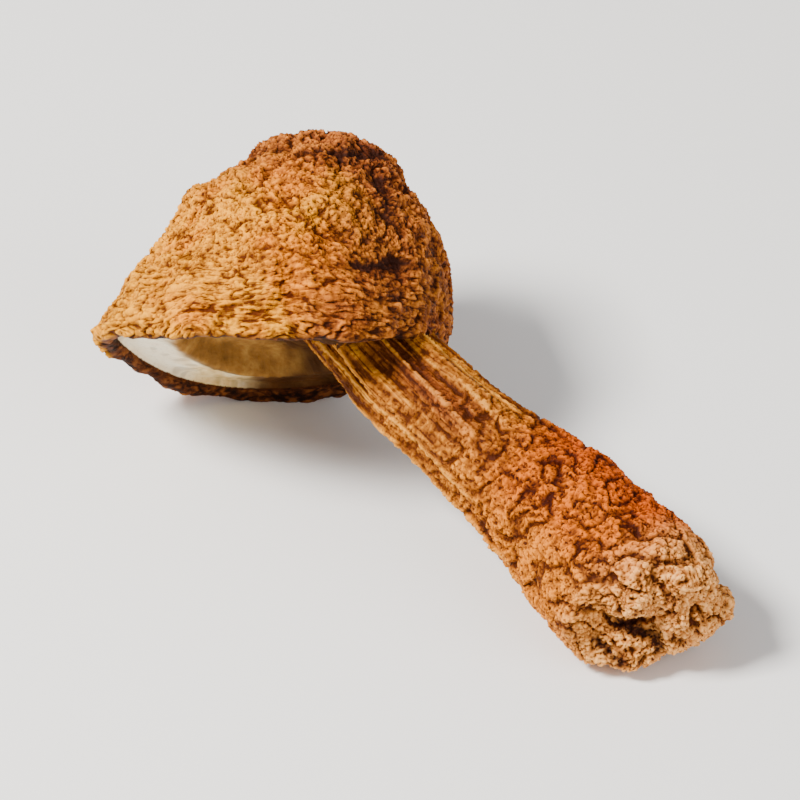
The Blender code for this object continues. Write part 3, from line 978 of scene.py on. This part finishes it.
def gill_blade(made, angle, near, seed):
    """Adds one thin, slightly waved blade to the mesh that is being made."""
    grid = []
    for hand in (-1, 1):
        for step in range(GILL_STEPS + 1):
            distance = near + (GILL_REACH[1] - near) * step / GILL_STEPS
            for row in range(GILL_ROWS + 1):
                point = gill_point(angle, distance, row / GILL_ROWS, hand, seed)
                grid.append(made.verts.new(point))
    across = GILL_ROWS + 1
    side = (GILL_STEPS + 1) * across
    for step in range(GILL_STEPS):
        for row in range(GILL_ROWS):
            a = step * across + row
            b = a + across
            made.faces.new([grid[i] for i in (a, a + 1, b + 1, b)])
            made.faces.new([grid[side + i] for i in (a, b, b + 1, a + 1)])
        a = step * across
        b = a + across
        made.faces.new([grid[i] for i in (a, b, side + b, side + a)])
    for row in range(GILL_ROWS):
        made.faces.new([grid[i] for i in (row, side + row, side + row + 1, row + 1)])


def gills_piece():
    made = bmesh.new()
    for number in range(GILL_COUNT):
        angle = math.tau * number / GILL_COUNT
        near = SHORT_GILL_START if number % 2 else GILL_REACH[0]
        if in_tear(angle):
            gill_blade(made, angle, near, number)
    mesh = bpy.data.meshes.new("gills")
    made.to_mesh(mesh)
    made.free()
    mesh.transform(LAY)
    mesh.shade_smooth()
    return object_of("gills", mesh)


def linear(*screen_values):
    """A colour given as screen values of 0 to 255, for red, green and blue."""
    values = [value / 255 for value in screen_values]
    return (*[v / 12.92 if v <= 0.04045 else ((v + 0.055) / 1.055) ** 2.4 for v in values], 1.0)


class Look:
    """A material that is put together node by node."""

    def __init__(self, name):
        self.material = bpy.data.materials.new(name)
        self.material.use_nodes = True
        self.tree = self.material.node_tree
        self.shader = self.tree.nodes["Principled BSDF"]
        self.place = self.node("ShaderNodeTexCoord").outputs["Object"]

    def node(self, kind, inputs=None, **settings):
        made = self.tree.nodes.new(kind)
        for key, value in settings.items():
            setattr(made, key, value)
        for name, value in (inputs or {}).items():
            self.put(made.inputs[name], value)
        return made

    def put(self, socket, value):
        if isinstance(value, bpy.types.NodeSocket):
            self.tree.links.new(value, socket)
        else:
            socket.default_value = value

    def attribute(self, name):
        return self.node("ShaderNodeAttribute", attribute_name=name).outputs["Fac"]

    def math(self, operation, a, b, clamp=False):
        made = self.node("ShaderNodeMath", {0: a, 1: b}, operation=operation, use_clamp=clamp)
        return made.outputs[0]

    def plus(self, a, b):
        return self.math("ADD", a, b)

    def less(self, a, b):
        return self.math("SUBTRACT", a, b)

    def times(self, a, b):
        return self.math("MULTIPLY", a, b)

    def noise(self, size, detail=3.0, rough=0.55, along=None):
        """Noise around 0.5 with features of this size, drawn out along the grain where one is given."""
        inputs = {"Scale": 1 / size, "Detail": detail, "Roughness": rough}
        inputs["Vector"] = along or self.place
        return self.node("ShaderNodeTexNoise", inputs).outputs["Fac"]

    def span(self, value, low, high):
        """The value, stretched so that low becomes 0 and high becomes 1."""
        inputs = {"Value": value, "From Min": low, "From Max": high}
        made = self.node("ShaderNodeMapRange", inputs, clamp=True, interpolation_type="SMOOTHSTEP")
        return made.outputs["Result"]

    def ramp(self, value, *stops):
        made = self.node("ShaderNodeValToRGB", {"Fac": value})
        elements = made.color_ramp.elements
        while len(elements) < len(stops):
            elements.new(0.5)
        for element, (place, colour) in zip(elements, stops):
            element.position = place
            element.color = linear(*colour)
        return made.outputs["Color"]

    def shades(self, height, colours):
        """Colours of the dried flesh by height, from a furrow to a ridge, with painted shade low and a
        painted highlight high.
        """
        return self.ramp(height, *zip(SHADE_STOPS, colours))

    def layer(self, colour, over, share, most=1.0):
        """A colour with another over it, by a share that runs up to this most."""
        factor = share if most == 1.0 else self.times(share, most)
        inputs = {"Factor": factor, "A": colour, "B": over}
        return self.node("ShaderNodeMix", inputs, data_type="RGBA").outputs["Result"]

    def bump(self, height, depth, under=None):
        inputs = {"Distance": depth, "Height": height}
        if under is not None:
            inputs["Normal"] = under
        return self.node("ShaderNodeBump", inputs).outputs["Normal"]

    def finish(self, colour, roughness, normal, specular=0.08):
        self.put(self.shader.inputs["Base Color"], colour)
        self.put(self.shader.inputs["Roughness"], roughness)
        self.put(self.shader.inputs["Normal"], normal)
        self.shader.inputs["Specular IOR Level"].default_value = specular
        return self.material


def shades_of_height(look):
    """How high each spot lies between furrow and ridge, with fine mottling and small dark pits of painted
    shade.
    """
    grain = look.node("ShaderNodeAttribute", attribute_name="grain").outputs["Vector"]
    folded = look.attribute("folded")
    loose = look.less(1.0, folded)
    cloudy = look.times(look.noise(size=0.8 * MM, detail=4.0), loose)
    drawn_out = look.times(look.noise(size=0.6 * MM, along=grain), folded)
    mottling = look.less(look.plus(cloudy, drawn_out), 0.5)
    dots = look.span(look.noise(size=0.42 * MM, detail=1.0), low=0.46, high=0.34)
    dashes = look.span(look.noise(size=0.32 * MM, detail=1.0, along=grain), low=0.48, high=0.36)
    pits = look.plus(look.times(dots, loose), look.times(dashes, look.times(folded, DASH_STRENGTH)))
    mottled = look.plus(look.attribute("relief"), look.times(mottling, MOTTLE_STRENGTH))
    return look.math("SUBTRACT", mottled, look.times(pits, PIT_STRENGTH), clamp=True)


def wrinkled_finish(look, height, colour):
    """Paints shade into the deep folds and adds the fine grain."""
    hidden = look.less(SHADOW_REACH, height)
    shadow = look.math("MULTIPLY", look.attribute("dark"), hidden, clamp=True)
    colour = look.layer(colour, linear(*SHADOWED), shadow)
    uneven = look.times(look.noise(size=1.5 * MM), ROUGHNESS_SPREAD)
    normal = look.bump(look.noise(size=0.28 * MM, rough=0.6), depth=0.14 * MM)
    return look.finish(colour, look.plus(uneven, ROUGHNESS_LEAST), normal)


def flesh(look, height, colours, *layers):
    """The finished flesh: colours with others over them, each by a share that runs up to a most."""
    colour = look.shades(height, colours)
    for over, share, most in layers:
        colour = look.layer(colour, look.shades(height, over), share, most)
    return wrinkled_finish(look, height, colour)


def cap_look():
    """Gold with russet clouds, yellow at the tip, brown on the crown, and brown painted shade at the
    right.
    """
    look = Look("cap_skin")
    return flesh(
        look,
        shades_of_height(look),
        GOLD,
        (RUSSET, look.span(look.noise(size=9 * MM, detail=2.0), low=0.45, high=0.62), 1.0),
        (YELLOW, look.attribute("tip"), 0.7),
        # Painted shade at the right
        (BROWN, look.attribute("right"), 0.85),
        (BROWN, look.attribute("crown"), 0.9),
        (RIM_DARK, look.attribute("lip"), 1.0),
    )


def stem_look():
    """Ridged at the top with painted shadow below the cap, orange at the right, and tan at the butt."""
    look = Look("stem_skin")
    share = look.attribute("share")
    side = look.attribute("side")
    right = look.times(look.span(side, low=-0.05, high=0.55), look.span(share, low=0.42, high=0.58))
    right = look.times(right, look.span(share, low=0.96, high=0.76))
    return flesh(
        look,
        shades_of_height(look),
        STEM_TOP,
        (STEM_MIDDLE, look.span(share, low=0.32, high=0.54), 1.0),
        (STEM_LOW, look.span(share, low=0.62, high=0.82), 1.0),
        (STEM_PALE, look.span(side, low=-0.30, high=-0.72), 0.6),
        (STEM_DARK, look.attribute("shaded"), 0.95),
        (STEM_EDGE, look.attribute("edge"), 0.7),
        (STEM_ORANGE, right, 0.85),
        (BUTT_TAN, look.span(share, low=0.76, high=0.95), 0.75),
    )


def veil_look():
    """White at the left, and olive brown where it is sunk, inside a narrow line of painted shade along
    the step, with painted shade towards the stem.
    """
    look = Look("veil")
    cloudy = look.noise(size=2.5 * MM, detail=4.0)
    pale = look.ramp(cloudy, *zip(PALE_STOPS, VEIL_PALE))
    tan = look.ramp(cloudy, *zip(PATCH_STOPS, VEIL_TAN))
    olive = look.ramp(cloudy, *zip(PATCH_STOPS, VEIL_OLIVE))
    wavy = look.times(look.less(look.noise(size=4 * MM, detail=2.0), 0.5), VEIL_STEP_WAVINESS)
    past_step = look.less(look.plus(look.attribute("from_axis"), wavy), VEIL_STEP_RADIUS)
    sunk = look.span(past_step, low=2.0 * MM, high=-0.3 * MM)
    colour = look.layer(look.layer(pale, tan, look.attribute("tanned")), olive, sunk)
    # A narrow line of painted shade just outside the step, except where the veil is white
    inside = look.span(past_step, low=-0.3 * MM, high=0.4 * MM)
    outside = look.span(past_step, low=0.5 * MM, high=1.1 * MM)
    step = look.times(look.less(inside, outside), look.less(1.0, look.attribute("white")))
    colour = look.layer(colour, linear(*VEIL_SHADE), step, most=0.5)
    white = look.times(look.attribute("white"), look.less(1.0, sunk))
    colour = look.layer(colour, linear(*VEIL_WHITE), white, most=0.6)
    # Painted shade towards the stem, under the rim
    colour = look.layer(colour, linear(*VEIL_SHADE), look.attribute("shade_near_stem"))
    fibres = look.noise(size=0.35 * MM, rough=0.6)
    # Darker spots of the veil's own, and painted shade in the furrows of its fine folds
    furrows = look.times(look.span(look.attribute("relief"), low=0.45, high=0.10), FURROW_STRENGTH)
    spots = look.times(look.span(fibres, low=0.5, high=0.75), SPOT_STRENGTH)
    colour = look.layer(colour, linear(*VEIL_SPOT), look.math("MAXIMUM", spots, furrows))
    rim = look.shades(look.noise(size=1.0 * MM), RIM_DARK)
    colour = look.layer(rim, colour, look.span(look.attribute("inner"), low=0.5, high=0.85))
    swells = look.bump(look.noise(size=1.6 * MM, detail=2.0), depth=0.25 * MM)
    return look.finish(colour, roughness=0.75, normal=look.bump(fibres, depth=0.08 * MM, under=swells))


def gill_look():
    look = Look("gills")
    colour = look.ramp(look.noise(size=1.8 * MM, detail=4.0), *zip(PATCH_STOPS, GILL_BROWN))
    normal = look.bump(look.noise(size=0.3 * MM), depth=0.06 * MM)
    return look.finish(colour, roughness=0.7, normal=normal, specular=0.25)


def floor():
    corners = [(x * FLOOR_HALF, y * FLOOR_HALF, 0) for x, y in ((-1, -1), (1, -1), (1, 1), (-1, 1))]
    plane = object_of("floor", mesh_of("floor", corners, [(0, 1, 2, 3)]))
    look = Look("floor")
    shade = look.ramp(look.noise(size=200 * MM), *zip((0.0, 1.0), FLOOR_GREY))
    normal = look.bump(look.noise(size=4 * MM), depth=0.01 * MM)
    plane.data.materials.append(look.finish(shade, roughness=0.8, normal=normal, specular=0.2))


def area_light(name, place, target, size, power, colour):
    lamp = bpy.data.lights.new(name, "AREA")
    lamp.size = size
    lamp.energy = power
    lamp.color = colour
    thing = object_of(name, lamp)
    thing.location = place
    thing.rotation_euler = (target - place).to_track_quat("-Z", "Y").to_euler()


def light_and_camera():
    right = Vector((math.cos(TURN), math.sin(TURN), 0.0))
    away = Vector((-math.sin(TURN), math.cos(TURN), 0.0))
    up = Vector((0.0, 0.0, 1.0))
    ahead = away * math.cos(VIEW_ELEVATION) - up * math.sin(VIEW_ELEVATION)
    middle = RIM_CENTRE + right * VIEW_MIDDLE[0] + right.cross(ahead) * VIEW_MIDDLE[1]
    camera = bpy.data.cameras.new("camera")
    camera.lens = LENS
    thing = object_of("camera", camera)
    thing.location = middle - ahead * VIEW_DISTANCE
    thing.rotation_euler = ahead.to_track_quat("-Z", "Y").to_euler()
    bpy.context.scene.camera = thing
    for name, (place, size, power, colour) in LIGHTS.items():
        from_middle = right * place[0] + away * place[1] + up * place[2]
        area_light(name, middle + from_middle, middle, size, power, colour)
    world = bpy.data.worlds.new("studio")
    world.use_nodes = True
    background = world.node_tree.nodes["Background"]
    background.inputs["Color"].default_value = (1.0, 1.0, 1.0, 1.0)
    background.inputs["Strength"].default_value = WORLD_STRENGTH
    bpy.context.scene.world = world


def dress(piece, look):
    """Gives a piece its material and its place in the frame."""
    piece.data.materials.append(look)
    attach(piece, "root")
    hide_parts("mushroom")
    print(piece.name, len(piece.data.polygons), "faces")


def make_mushroom():
    surface, shapes, parts_of_shapes = fused_body()
    surface.relax(RELAX_ROUNDS)
    parts = nearest_parts(surface, shapes, parts_of_shapes)
    values = wrinkle(surface, parts)
    first = surface.faces[:, 0]
    on = parts[first]
    cap = (on == SKIN) | (on == LIP)
    veil = (on == VEIL) | (on == HOLLOW)
    stem = on == STEM
    crown = surface.points[first, 2] > BRIM_TOP * CAP_HEIGHT
    shaft = values["share"][first] < SHAFT_END
    surface.points = lay_down(surface.points)
    normals = surface.normals()
    skin, bark, inner = cap_look(), stem_look(), veil_look()
    pieces = [
        ("cap_crown", cap & crown, CAP_KEYS, skin),
        ("cap_brim", cap & ~crown, CAP_KEYS, skin),
        ("veil", veil, VEIL_KEYS, inner),
        ("stem_shaft", stem & shaft, STEM_KEYS, bark),
        ("stem_butt", stem & ~shaft, STEM_KEYS, bark),
    ]
    for name, wanted, keys, look in pieces:
        dress(piece_from(surface, name, wanted, normals, values, keys), look)
    dress(gills_piece(), gill_look())


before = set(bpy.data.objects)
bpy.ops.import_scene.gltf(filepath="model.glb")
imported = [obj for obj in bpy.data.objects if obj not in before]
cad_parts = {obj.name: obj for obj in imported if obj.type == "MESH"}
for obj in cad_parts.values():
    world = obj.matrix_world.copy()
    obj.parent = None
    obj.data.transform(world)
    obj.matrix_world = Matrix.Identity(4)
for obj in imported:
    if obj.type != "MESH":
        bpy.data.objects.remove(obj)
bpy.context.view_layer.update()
light_and_camera()
floor()
make_mushroom()
